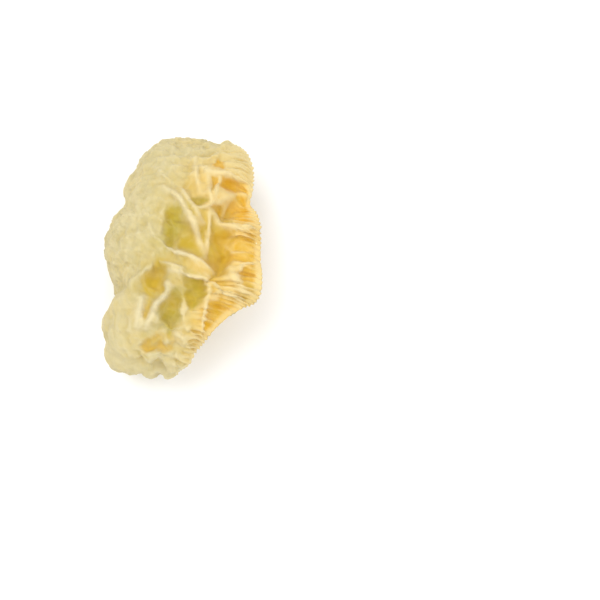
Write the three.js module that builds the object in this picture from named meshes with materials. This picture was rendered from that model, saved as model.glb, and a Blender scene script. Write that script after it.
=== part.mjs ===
// A disposable bouffant cap: one piece of thin gathered cloth and the elastic strand round its opening.
// The cap lies on its side as it was set down, half folded flat, with its opening towards +X,
// its crown towards -X, and the side it lies on pressed flat at z = 0. Lengths are in millimetres.
import * as THREE from "three";

// The cap as it lies.
const LENGTH = 253; // along Y, from one end of the opening to the other
const BREADTH = 160; // along X, from the crown to the rim
const HEIGHT = 106; // along Z, table to the top of the crown, before its ridges
const BELT_HEIGHT = 44; // where the side walls stand out furthest
const WALL = 1.2; // the cloth, with its loft

// The opening. Its two angles are measured on the ball that the form is stretched from.
const RIM_SPAN = 76.5; // degrees, from the opening's middle to either end
const RIM_GAPE = 42; // degrees, from the opening's middle up to its edge
const RIM_HEADING = -16.5; // degrees from +X: the opening looks a little towards -Y
const RIM_TUCK = 15; // how far the lower edge lies back under the upper one

// The side that it lies on, and the ridges and hollows of its upper side.
const UNDERSIDE_DROP = 1.6; // the ball's lower half in belt heights: what is under the table is pressed flat
const RIM_RELIEF = 0.45; // how much of the ridges and hollows is left at the edge
const HOLLOW_STEEPNESS = 0.8; // how fast the side of a hollow rises

// The gathers that the elastic draws in, and the wider folds that they run out into.
const GATHERS = 80; // round the whole rim
const GATHER_DEPTH = 2.1; // crest to mean
const GATHER_RUN = 30; // how far in from the edge they reach
const FOLDS = 13;
const FOLD_DEPTH = 3;
const FOLD_RUN = 110;

const ELASTIC_DIAMETER = 1.6;
const ELASTIC_INSET = 9; // from the edge of the cloth to the strand
const CLEARANCE = 0.6;

// The mesh: gathered rows have two points to a gather, crown rows one.
const GATHER_ROWS = 4;
const CROWN_ROWS = 25;
const TOP_CROWDING = 0.36; // radians: draws points together on the upper side
const RIM_EVENING = 0.3; // radians: keeps points evenly spaced round the long oval of the rim
const NORMAL_STEP = 0.004; // share of a turn, and of the depth, over which a slope is taken
const ELASTIC_STEPS = 110;
const ELASTIC_SIDES = 5;

const HALF_LENGTH = LENGTH / 2;
const HALF_BREADTH = BREADTH / 2;
const CROWN_RUN = BREADTH + HEIGHT / 3; // over the top from the rim to the crown's far end

// The outline from above, counterclockwise: across is a share of HALF_BREADTH, along of HALF_LENGTH.
const OUTLINE = [
  { across: 1.0, along: 0.03 },
  { across: 1.0, along: 0.165 },
  { across: 0.95, along: 0.29 },
  { across: 0.86, along: 0.38 },
  { across: 0.9, along: 0.51 },
  { across: 0.88, along: 0.72 },
  { across: 0.78, along: 0.86 },
  { across: 0.63, along: 0.94 },
  { across: 0.55, along: 0.985 },
  { across: 0.46, along: 0.955 },
  { across: 0.25, along: 0.99 },
  { across: -0.02, along: 1.0 },
  { across: -0.25, along: 1.0 },
  { across: -0.4, along: 0.95 },
  { across: -0.53, along: 0.86 },
  { across: -0.68, along: 0.7 },
  { across: -0.76, along: 0.56 },
  { across: -0.79, along: 0.42 },
  { across: -0.91, along: 0.3 },
  { across: -0.98, along: 0.18 },
  { across: -1.0, along: 0.06 },
  { across: -0.98, along: -0.08 },
  { across: -0.91, along: -0.22 },
  { across: -0.88, along: -0.32 },
  { across: -0.91, along: -0.42 },
  { across: -0.99, along: -0.52 },
  { across: -0.98, along: -0.66 },
  { across: -0.96, along: -0.8 },
  { across: -0.86, along: -0.91 },
  { across: -0.72, along: -0.965 },
  { across: -0.5, along: -0.965 },
  { across: -0.42, along: -1.0 },
  { across: -0.28, along: -0.96 },
  { across: -0.16, along: -0.99 },
  { across: -0.04, along: -0.965 },
  { across: 0.11, along: -0.92 },
  { across: 0.2, along: -0.83 },
  { across: 0.32, along: -0.75 },
  { across: 0.45, along: -0.65 },
  { across: 0.62, along: -0.55 },
  { across: 0.78, along: -0.5 },
  { across: 0.95, along: -0.45 },
  { across: 1.01, along: -0.36 },
  { across: 1.02, along: -0.25 },
  { across: 1.0, along: -0.08 },
];

// Ridges on the upper side: places along the crest as [across, along], which are shares as in
// OUTLINE. Rise is a share of HEIGHT, and width one of HALF_BREADTH.
const RIDGES = [
  { path: [[-0.19, 0.48], [0.12, 0.21], [0.28, -0.05]], rise: 0.12, width: 0.13 },
  { path: [[0.35, 0.31], [0.33, 0.18], [0.28, -0.06]], rise: 0.09, width: 0.11 },
  { path: [[0.16, 0.31], [0.33, 0.35], [0.68, 0.48]], rise: 0.1, width: 0.12 },
  { path: [[0.37, 0.31], [0.45, 0.24], [0.58, 0.18], [0.97, 0.26]], rise: 0.11, width: 0.12 },
  { path: [[0.65, 0.46], [0.53, 0.35], [0.48, 0.25]], rise: 0.09, width: 0.11 },
  { path: [[0.25, 0.72], [0.37, 0.62], [0.84, 0.63]], rise: 0.08, width: 0.12 },
  { path: [[-0.4, 0.07], [-0.09, -0.04], [0.27, -0.13], [0.38, -0.2]], rise: 0.09, width: 0.12 },
  { path: [[-0.17, -0.2], [0.29, -0.26], [0.58, -0.39]], rise: 0.09, width: 0.12 },
  { path: [[0.29, -0.27], [0.35, -0.36], [0.27, -0.62], [0.25, -0.71]], rise: 0.09, width: 0.12 },
  { path: [[0.61, -0.12], [0.78, -0.33], [0.95, -0.35]], rise: 0.11, width: 0.14 },
  { path: [[0.35, -0.42], [0.5, -0.37], [0.66, -0.37], [0.82, -0.46]], rise: 0.1, width: 0.12 },
  { path: [[-0.2, -0.3], [-0.26, -0.42], [-0.46, -0.66]], rise: 0.11, width: 0.14 },
  { path: [[-0.5, -0.41], [-0.54, -0.66]], rise: 0.07, width: 0.14 },
  { path: [[-0.46, -0.68], [0.04, -0.74], [0.25, -0.73]], rise: 0.07, width: 0.12 },
];

// Hollows between them. Wide is a share of HALF_BREADTH, long one of HALF_LENGTH, turn is in degrees
// and sink a share of HEIGHT.
const HOLLOWS = [
  { across: -0.12, along: 0.19, wide: 0.12, long: 0.15, turn: -14, sink: 0.12 },
  { across: 0.13, along: 0.05, wide: 0.19, long: 0.07, turn: -42, sink: 0.12 },
  { across: 0.46, along: 0.11, wide: 0.16, long: 0.21, turn: -4, sink: 0.16 },
  { across: 0.46, along: -0.12, wide: 0.15, long: 0.09, turn: 0, sink: 0.09 },
  { across: 0.76, along: 0.04, wide: 0.21, long: 0.09, turn: 0, sink: 0.09 },
  { across: 0.66, along: 0.37, wide: 0.15, long: 0.1, turn: 25, sink: 0.12 },
  { across: 0.6, along: 0.54, wide: 0.15, long: 0.04, turn: -6, sink: 0.09 },
  { across: -0.32, along: -0.27, wide: 0.12, long: 0.13, turn: -14, sink: 0.12 },
  { across: -0.42, along: -0.52, wide: 0.06, long: 0.06, turn: 0, sink: 0.08 },
  { across: -0.15, along: -0.52, wide: 0.11, long: 0.14, turn: -6, sink: 0.12 },
  { across: 0.16, along: -0.35, wide: 0.14, long: 0.11, turn: 0, sink: 0.11 },
  { across: 0.47, along: -0.53, wide: 0.19, long: 0.11, turn: 30, sink: 0.1 },
  { across: 0.76, along: -0.21, wide: 0.08, long: 0.06, turn: 0, sink: 0.08 },
  { across: -0.27, along: -0.77, wide: 0.17, long: 0.06, turn: 6, sink: 0.06 },
];

const cloth = new THREE.MeshStandardMaterial({ color: 0xeedca0, roughness: 0.85, metalness: 0 });
const rubber = new THREE.MeshStandardMaterial({ color: 0xf4f1e6, roughness: 0.7, metalness: 0 });

const radians = THREE.MathUtils.degToRad;
const fade = THREE.MathUtils.smoothstep;
const mix = THREE.MathUtils.lerp;

const outlineByAngle = OUTLINE.map(({ across, along }) => ({
  angle: Math.atan2(along, across),
  reach: Math.hypot(across, along),
})).sort((a, b) => a.angle - b.angle);

// The outline's reach at an angle: a smooth curve through the points on both sides of it.
function outlineReach(angle) {
  const count = outlineByAngle.length;
  const after = outlineByAngle.findIndex((point) => point.angle > angle);
  const start = (after < 0 ? count : after) - 1;
  const [before, from, to, beyond] = [-1, 0, 1, 2].map((step) => {
    const index = start + step;
    const point = outlineByAngle[(index + count) % count];
    return { angle: point.angle + Math.floor(index / count) * 2 * Math.PI, reach: point.reach };
  });
  const span = to.angle - from.angle;
  const t = (angle - from.angle) / span;
  const slopeFrom = ((to.reach - before.reach) / (to.angle - before.angle)) * span;
  const slopeTo = ((beyond.reach - from.reach) / (beyond.angle - from.angle)) * span;
  const bend = from.reach - to.reach;
  const cubic = 2 * bend + slopeFrom + slopeTo;
  const square = -3 * bend - 2 * slopeFrom - slopeTo;
  return from.reach + t * (slopeFrom + t * (square + t * cubic));
}

// How far out the rim lies at an angle from the opening's middle, on a ball of radius 1.
function rimShare(angle) {
  const share = Math.min(Math.abs(angle) / radians(RIM_SPAN), 1);
  return 1 - (1 - Math.cos(radians(RIM_GAPE))) * Math.cos((share * Math.PI) / 2);
}

// A point of the unit ball. The opening's edge is a flattened oval round +X, and deeper loops
// are wider ovals about the same two foci, up to the crown's far end at -X.
function ballPoint(turn, depth) {
  const evening = RIM_EVENING * (1 - fade(depth, 0, 0.4));
  const crowding = TOP_CROWDING * fade(depth, 0, 0.3) * Math.cos(2 * Math.PI * turn);
  const angle = 2 * Math.PI * turn + evening * Math.sin(4 * Math.PI * turn) + crowding;
  const rimAcross = Math.tan(radians(RIM_SPAN) / 2);
  const rimUp = Math.tan(radians(RIM_GAPE) / 2);
  const up = Math.tan(mix(radians(RIM_GAPE), Math.PI, depth) / 2);
  const along = Math.sqrt(up * up + rimAcross * rimAcross - rimUp * rimUp) * Math.cos(angle);
  const rise = up * Math.sin(angle);
  const square = along * along + rise * rise;
  return new THREE.Vector3((1 - square) / (1 + square), (2 * along) / (1 + square), (2 * rise) / (1 + square));
}

// The cap's form without gathers: the ball stretched to the outline and pressed flat below.
function formPoint(turn, depth, withRelief = true) {
  const ball = ballPoint(turn, depth);
  const heading = radians(RIM_HEADING);
  const radius = Math.hypot(ball.x, ball.y);
  const fromOpening = Math.atan2(ball.y, ball.x);
  const angle = Math.atan2(Math.sin(fromOpening + heading), Math.cos(fromOpening + heading));
  const reach = mix(1, outlineReach(angle), fade(radius, 0, 0.8)) / rimShare(fromOpening);
  const tuck = RIM_TUCK * fade(-ball.z, 0, 0.6) * (1 - fade(depth, 0, 0.5));
  const across = Math.cos(angle) * radius * reach;
  const along = Math.sin(angle) * radius * reach;
  const point = new THREE.Vector3(
    across * HALF_BREADTH - tuck * Math.cos(heading),
    along * HALF_LENGTH - tuck * Math.sin(heading),
    BELT_HEIGHT + ball.z * (ball.z > 0 ? HEIGHT - BELT_HEIGHT : UNDERSIDE_DROP * BELT_HEIGHT),
  );
  const shown = fade(ball.z, 0.15, 0.6) * mix(RIM_RELIEF, 1, fade(depth, 0, 0.2));
  if (withRelief) point.z += HEIGHT * relief(across, along) * shown;
  return point;
}

const onPlan = (across, along) => new THREE.Vector3(across * HALF_BREADTH, along * HALF_LENGTH, 0);

const crests = RIDGES.map(({ path, rise, width }) => {
  const points = path.map(([across, along]) => onPlan(across, along));
  const lines = points.slice(1).map((point, i) => new THREE.Line3(points[i], point));
  return { lines, rise, width: width * HALF_BREADTH };
});

// Ridges and hollows of the upper side, as a share of HEIGHT.
function relief(across, along) {
  const place = onPlan(across, along);
  let rise = 0;
  for (const crest of crests) {
    for (const line of crest.lines) {
      const off = line.closestPointToPoint(place, true, new THREE.Vector3()).distanceTo(place);
      rise = Math.max(rise, crest.rise * Math.exp(-((off / crest.width) ** 2)));
    }
  }
  for (const hollow of HOLLOWS) {
    const turn = radians(hollow.turn);
    const off = onPlan(hollow.across, hollow.along).sub(place);
    const offWide = (off.x * Math.cos(turn) + off.y * Math.sin(turn)) / (hollow.wide * HALF_BREADTH);
    const offLong = (off.y * Math.cos(turn) - off.x * Math.sin(turn)) / (hollow.long * HALF_LENGTH);
    rise -= hollow.sink * Math.exp(-HOLLOW_STEEPNESS * (offWide ** 2 + offLong ** 2));
  }
  return rise;
}

// The outward direction of the smooth form at a place, from two short steps along it.
function outward(turn, depth) {
  const start = Math.min(depth, 1 - 2 * NORMAL_STEP);
  const round = formPoint(turn + NORMAL_STEP, depth, false).sub(formPoint(turn - NORMAL_STEP, depth, false));
  const inwards = formPoint(turn, start + NORMAL_STEP, false).sub(formPoint(turn, start, false));
  return inwards.cross(round).normalize();
}

// Wide folds: deepest a little way in from the rim, and gone at the crown.
function foldLift(turn, depth) {
  const run = (depth * CROWN_RUN) / FOLD_RUN;
  const sway = 0.35 * Math.sin(2 * Math.PI * (3 * turn + 0.2)) + 0.25 * Math.sin(2 * Math.PI * (7 * turn + 0.6));
  const swell = 0.75 + 0.35 * Math.sin(2 * Math.PI * (5 * turn + 0.1));
  const strength = fade(run, 0, 0.25) * (1 - fade(run, 0.3, 1));
  return FOLD_DEPTH * swell * strength * Math.cos(2 * Math.PI * FOLDS * turn + 2 * Math.PI * sway);
}

function gatherLift(turn, depth) {
  const run = (depth * CROWN_RUN) / GATHER_RUN;
  return GATHER_DEPTH * (1 - fade(run, 0.2, 1)) * Math.cos(2 * Math.PI * GATHERS * turn);
}

function pressed(point) {
  point.z = Math.max(point.z, 0);
  return point;
}

function clothPoint(turn, depth) {
  const lift = foldLift(turn, depth) + gatherLift(turn, depth);
  return pressed(formPoint(turn, depth).addScaledVector(outward(turn, depth), lift));
}

// Rings of points from the rim to just short of the crown's far end.
function clothRings() {
  const lastGathered = GATHER_RUN / CROWN_RUN;
  const rings = [];
  for (let row = 0; row < GATHER_ROWS; row++) {
    const depth = (lastGathered * row) / GATHER_ROWS;
    rings.push({ depth, count: 2 * GATHERS });
  }
  for (let row = 0; row < CROWN_ROWS; row++) {
    const depth = mix(lastGathered, 1, row / CROWN_ROWS);
    rings.push({ depth, count: GATHERS });
  }
  return rings.map(({ depth, count }) =>
    Array.from({ length: count }, (_, i) => clothPoint(i / count, depth)),
  );
}

// Triangles between two closed rings, where the second may have half as many points.
function bridge(faces, start, count, nextStart, nextCount) {
  const ratio = count / nextCount;
  for (let i = 0; i < nextCount; i++) {
    const next = (i + 1) % nextCount;
    const [a, b, c] = [i * ratio, i * ratio + 1, ((i + 1) * ratio) % count].map((k) => start + (k % count));
    faces.push([a, b, nextStart + i]);
    if (ratio > 1) faces.push([b, c, nextStart + i]);
    faces.push([ratio > 1 ? c : b, nextStart + next, nextStart + i]);
  }
}

function geometryOf(points, faces) {
  const geometry = new THREE.BufferGeometry().setFromPoints(points);
  geometry.setIndex(faces.flat());
  geometry.computeVertexNormals();
  return geometry;
}

// The cloth: an outer face, the same face moved in by the wall, and an edge that joins them.
function crownGeometry() {
  const rings = clothRings();
  const outer = rings.flat();
  const faces = [];
  let start = 0;
  for (let row = 0; row + 1 < rings.length; row++) {
    const next = start + rings[row].length;
    bridge(faces, start, rings[row].length, next, rings[row + 1].length);
    start = next;
  }
  const pole = outer.push(clothPoint(0, 1)) - 1;
  const lastCount = rings.at(-1).length;
  for (let i = 0; i < lastCount; i++) faces.push([start + i, start + ((i + 1) % lastCount), pole]);

  const normals = geometryOf(outer, faces).getAttribute("normal");
  const inner = outer.map((point, i) =>
    point.clone().addScaledVector(new THREE.Vector3().fromBufferAttribute(normals, i), -WALL),
  );
  const offset = outer.length;
  const walls = faces.map(([a, b, c]) => [a + offset, c + offset, b + offset]);
  const rimCount = rings[0].length;
  const edge = [];
  for (let i = 0; i < rimCount; i++) {
    const next = (i + 1) % rimCount;
    edge.push([i, i + offset, next], [next, i + offset, next + offset]);
  }
  return geometryOf([...outer, ...inner], [...faces, ...walls, ...edge]);
}

// The strand runs inside the gathers, clear of their inner crests.
function elasticGeometry() {
  const depth = ELASTIC_INSET / CROWN_RUN;
  const inset = GATHER_DEPTH + WALL + CLEARANCE + ELASTIC_DIAMETER / 2;
  const centres = Array.from({ length: ELASTIC_STEPS }, (_, i) => {
    const turn = i / ELASTIC_STEPS;
    const form = pressed(formPoint(turn, depth).addScaledVector(outward(turn, depth), foldLift(turn, depth)));
    return form.addScaledVector(outward(turn, depth), -inset);
  });
  const path = new THREE.CatmullRomCurve3(centres, true);
  const frames = path.computeFrenetFrames(ELASTIC_STEPS, true);
  const points = [];
  const faces = [];
  for (let i = 0; i < ELASTIC_STEPS; i++) {
    const centre = path.getPoint(i / ELASTIC_STEPS);
    for (let side = 0; side < ELASTIC_SIDES; side++) {
      const angle = (2 * Math.PI * side) / ELASTIC_SIDES;
      const spoke = frames.normals[i].clone().multiplyScalar(Math.cos(angle));
      spoke.addScaledVector(frames.binormals[i], Math.sin(angle));
      points.push(centre.clone().addScaledVector(spoke, ELASTIC_DIAMETER / 2));
      const next = ((i + 1) % ELASTIC_STEPS) * ELASTIC_SIDES;
      const [a, b] = [i * ELASTIC_SIDES + side, i * ELASTIC_SIDES + ((side + 1) % ELASTIC_SIDES)];
      const [c, d] = [next + side, next + ((side + 1) % ELASTIC_SIDES)];
      faces.push([a, b, c], [b, d, c]);
    }
  }
  return geometryOf(points, faces);
}

const cap = new THREE.Group();
for (const [name, geometry, material] of [
  ["crown", crownGeometry(), cloth],
  ["elastic", elasticGeometry(), rubber],
]) {
  const mesh = new THREE.Mesh(geometry, material);
  mesh.name = name;
  cap.add(mesh);
}

// The origin is on the table, under the middle of the cap's box.
const extent = new THREE.Box3().setFromObject(cap, true);
const middle = extent.getCenter(new THREE.Vector3());
cap.position.set(-middle.x, -middle.y, -extent.min.z);

export default cap;
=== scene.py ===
"""A disposable bouffant cap of thin gathered cloth, lying on a table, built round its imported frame."""

import functools
import math

import bpy
import numpy as np
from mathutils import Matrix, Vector
from mathutils.kdtree import KDTree


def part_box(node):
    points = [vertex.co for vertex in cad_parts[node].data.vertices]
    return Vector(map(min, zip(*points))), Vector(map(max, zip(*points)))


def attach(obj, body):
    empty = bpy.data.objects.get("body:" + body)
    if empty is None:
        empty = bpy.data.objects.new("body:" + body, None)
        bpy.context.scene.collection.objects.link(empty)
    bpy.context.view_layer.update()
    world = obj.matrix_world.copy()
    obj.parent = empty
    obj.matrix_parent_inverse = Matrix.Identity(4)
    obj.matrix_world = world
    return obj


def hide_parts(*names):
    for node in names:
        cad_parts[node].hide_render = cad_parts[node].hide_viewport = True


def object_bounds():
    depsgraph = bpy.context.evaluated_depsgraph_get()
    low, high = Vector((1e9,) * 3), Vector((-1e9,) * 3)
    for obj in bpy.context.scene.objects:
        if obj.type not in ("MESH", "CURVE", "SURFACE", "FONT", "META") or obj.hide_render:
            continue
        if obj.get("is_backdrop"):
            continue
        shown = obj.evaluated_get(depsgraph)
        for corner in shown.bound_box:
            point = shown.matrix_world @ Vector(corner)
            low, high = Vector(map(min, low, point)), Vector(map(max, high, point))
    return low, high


bl_info = {
    "name": "Bouffant Cap",
    "version": (1, 0, 0),
    "blender": (4, 5, 0),
    "location": "3D View > Sidebar > Bouffant Cap",
    "description": "Builds a gathered bouffant cap, its elastic, and a plain stage",
    "category": "Add Mesh",
}

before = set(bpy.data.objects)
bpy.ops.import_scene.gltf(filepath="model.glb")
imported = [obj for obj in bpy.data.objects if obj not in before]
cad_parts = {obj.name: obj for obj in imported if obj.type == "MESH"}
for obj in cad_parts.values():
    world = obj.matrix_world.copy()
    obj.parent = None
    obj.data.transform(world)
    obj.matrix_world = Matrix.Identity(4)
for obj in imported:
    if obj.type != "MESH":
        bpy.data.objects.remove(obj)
CAD_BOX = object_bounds()
CROWN_LOW, CROWN_HIGH = (Vector(corner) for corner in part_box("crown"))
SEED = 7
FULL_TURN = 2 * math.pi
TINY = 1e-12

# The form, in the same words as the solid that it replaces. Its height comes before its ridges, and
# the underside reaches below the table by the last share until it is pressed flat.
FOLD_ROOM = 0.002
HEIGHT_SHARE = 0.905
BELT_SHARE = 0.415
UNDERSIDE_SHARE = 1.6
HALF_LENGTH = (CROWN_HIGH.y - CROWN_LOW.y) / 2 - FOLD_ROOM
HALF_BREADTH = (CROWN_HIGH.x - CROWN_LOW.x) / 2 - FOLD_ROOM / 2
HEIGHT = (CROWN_HIGH.z - CROWN_LOW.z) * HEIGHT_SHARE
BELT_HEIGHT = HEIGHT * BELT_SHARE
CROWN_RUN = 2 * HALF_BREADTH + HEIGHT / 3
SHEET_THICKNESS = 0.0003
STRAND_STEPS = 480

# The opening's edge on the ball: how far it reaches to the sides and up, and where it heads. Then how
# far its lower side is tucked in, in metres, and how low and how deep in that goes.
RIM_SPAN = math.radians(76.5)
RIM_GAPE = math.radians(42)
RIM_HEADING = math.radians(-16.5)
RIM_TUCK = 0.025
TUCK_FALL = 0.6
TUCK_DEPTH = 0.5

# The sheet's points are spread evenly round the edge and crowd to the upper side further in. A depth
# is a share of the sheet's run, 0 at the edge and 1 at the far pole.
EVEN_DEPTH = 0.02
EVEN_STEPS = 721
CROWDED_DEPTH = 0.35
TOP_CROWDING = 0.42
POLE_ROOM = 1e-4

# The outline from above: shares of HALF_BREADTH and HALF_LENGTH. It rounds off towards the middle.
ROUND_MIDDLE = 0.8
OUTLINE = (
    (1.0, 0.03), (1.0, 0.165), (0.95, 0.29), (0.86, 0.38), (0.9, 0.51), (0.88, 0.72), (0.78, 0.86),
    (0.63, 0.94), (0.55, 0.985), (0.46, 0.955), (0.25, 0.99), (-0.02, 1.0), (-0.25, 1.0), (-0.4, 0.95),
    (-0.53, 0.86), (-0.68, 0.7), (-0.76, 0.56), (-0.79, 0.42), (-0.91, 0.3), (-0.98, 0.18), (-1.0, 0.06),
    (-0.98, -0.08), (-0.91, -0.22), (-0.88, -0.32), (-0.91, -0.42), (-0.99, -0.52), (-0.98, -0.66),
    (-0.96, -0.8), (-0.86, -0.91), (-0.72, -0.965), (-0.5, -0.965), (-0.42, -1.0), (-0.28, -0.96),
    (-0.16, -0.99), (-0.04, -0.965), (0.11, -0.92), (0.2, -0.83), (0.32, -0.75), (0.45, -0.65),
    (0.62, -0.55), (0.78, -0.5), (0.95, -0.45), (1.01, -0.36), (1.02, -0.25), (1.0, -0.08),
)

# Creases that stand up: places along each as shares, then how high it stands, how wide its foot is
# and how wide its crest, in metres. Each is lower at its ends. The sheet's points are drawn to them.
CREASE_ENDS = (0.08, 0.92)
CREST_RISE = 0.0012
FULL_CREST = 0.0085
LOW_CREST_POWER = 1.5
CREST_PULL = 0.6
CREST_PULL_WIDTH = 0.0036
CREASES = (
    {"path": ((-0.16, 0.44), (0.01, 0.35), (0.15, 0.18), (0.24, 0.03), (0.31, -0.1)),
     "rise": 0.013, "foot": 0.01, "crest": 0.0026},
    {"path": ((0.37, 0.28), (0.36, 0.15), (0.33, 0.02), (0.31, -0.1)),
     "rise": 0.01, "foot": 0.006, "crest": 0.0014},
    {"path": ((0, 0.47), (0.1, 0.37), (0.2, 0.28), (0.27, 0.17)),
     "rise": 0.008, "foot": 0.006, "crest": 0.0018},
    {"path": ((0.19, 0.28), (0.35, 0.31), (0.51, 0.37), (0.69, 0.44)),
     "rise": 0.01, "foot": 0.006, "crest": 0.0015},
    {"path": ((0.39, 0.28), (0.48, 0.2), (0.6, 0.15), (0.76, 0.13), (0.98, 0.17)),
     "rise": 0.012, "foot": 0.007, "crest": 0.0032},
    {"path": ((0.65, 0.43), (0.54, 0.32), (0.53, 0.22)),
     "rise": 0.006, "foot": 0.005, "crest": 0.0016},
    {"path": ((0.36, 0.58), (0.37, 0.46), (0.39, 0.37), (0.37, 0.29)),
     "rise": 0.009, "foot": 0.005, "crest": 0.0013},
    {"path": ((0.5, 0.58), (0.47, 0.45), (0.43, 0.36)),
     "rise": 0.009, "foot": 0.005, "crest": 0.0012},
    {"path": ((0.25, 0.68), (0.38, 0.59), (0.57, 0.58), (0.84, 0.55)),
     "rise": 0.008, "foot": 0.006, "crest": 0.0024},
    {"path": ((0.16, 0.74), (0.2, 0.57), (0.26, 0.4)),
     "rise": 0.006, "foot": 0.007, "crest": 0.0026},
    {"path": ((-0.38, 0.15), (-0.32, 0.06), (-0.16, -0.01)),
     "rise": 0.004, "foot": 0.008, "crest": 0.0018},
    {"path": ((-0.16, -0.03), (-0.03, -0.08), (0.14, -0.11), (0.3, -0.16), (0.42, -0.23)),
     "rise": 0.009, "foot": 0.006, "crest": 0.0014},
    {"path": ((-0.11, -0.23), (0.13, -0.26), (0.33, -0.28), (0.48, -0.35), (0.61, -0.41)),
     "rise": 0.009, "foot": 0.006, "crest": 0.0016},
    {"path": ((0.33, -0.29), (0.39, -0.38), (0.34, -0.49), (0.3, -0.62), (0.28, -0.71)),
     "rise": 0.009, "foot": 0.006, "crest": 0.0015},
    {"path": ((0.64, -0.19), (0.71, -0.29), (0.8, -0.37), (0.96, -0.42)),
     "rise": 0.012, "foot": 0.007, "crest": 0.0034},
    {"path": ((0.7, -0.26), (0.77, -0.17), (0.97, -0.13)),
     "rise": 0.008, "foot": 0.005, "crest": 0.0015},
    {"path": ((0.38, -0.44), (0.53, -0.39), (0.69, -0.41), (0.84, -0.48)),
     "rise": 0.01, "foot": 0.007, "crest": 0.0028},
    {"path": ((-0.14, -0.33), (-0.13, -0.38), (-0.2, -0.44), (-0.3, -0.53), (-0.36, -0.6), (-0.4, -0.66)),
     "rise": 0.012, "foot": 0.007, "crest": 0.003},
    {"path": ((-0.43, -0.44), (-0.48, -0.54), (-0.49, -0.67)),
     "rise": 0.008, "foot": 0.007, "crest": 0.004},
    {"path": ((-0.15, -0.67), (0.07, -0.73), (0.27, -0.74)),
     "rise": 0.005, "foot": 0.007, "crest": 0.002},
    {"path": ((-0.15, 0.66), (0.04, 0.67)),
     "rise": 0.003, "foot": 0.008, "crest": 0.002},
    {"path": ((-0.21, -0.15), (-0.06, -0.19), (0.12, -0.23)),
     "rise": 0.005, "foot": 0.005, "crest": 0.0014},
    {"path": ((-0.04, -0.68), (0.11, -0.79), (0.18, -0.83)),
     "rise": 0.005, "foot": 0.005, "crest": 0.0014},
    {"path": ((0.08, -0.65), (0.19, -0.71), (0.29, -0.76)),
     "rise": 0.005, "foot": 0.005, "crest": 0.0014},
    {"path": ((-0.28, -0.83), (-0.23, -0.91), (-0.21, -0.96)),
     "rise": 0.005, "foot": 0.006, "crest": 0.0016},
    {"path": ((-0.45, -0.88), (-0.4, -0.94)),
     "rise": 0.004, "foot": 0.006, "crest": 0.0016},
    {"path": ((0.6, 0.07), (0.78, 0.11), (0.96, 0.11)),
     "rise": 0.005, "foot": 0.005, "crest": 0.0014},
    {"path": ((0.57, 0.02), (0.67, -0.05), (0.92, -0.04)),
     "rise": 0.005, "foot": 0.005, "crest": 0.0016},
    {"path": ((-0.25, 0.61), (-0.17, 0.54), (-0.06, 0.48)),
     "rise": 0.004, "foot": 0.006, "crest": 0.0016},
    {"path": ((-0.77, 0.27), (-0.56, 0.26), (-0.36, 0.24)),
     "rise": 0.003, "foot": 0.005, "crest": 0.0014},
    {"path": ((-0.79, -0.05), (-0.61, -0.03), (-0.45, -0.09)),
     "rise": 0.003, "foot": 0.005, "crest": 0.0014},
    {"path": ((-0.62, -0.28), (-0.45, -0.25), (-0.34, -0.17)),
     "rise": 0.003, "foot": 0.006, "crest": 0.0014},
    {"path": ((-0.72, -0.53), (-0.61, -0.59), (-0.58, -0.71)),
     "rise": 0.003, "foot": 0.006, "crest": 0.0014},
    {"path": ((-0.15, 0.8), (-0.04, 0.76), (0.07, 0.82)),
     "rise": 0.003, "foot": 0.006, "crest": 0.0014},
)

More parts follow.
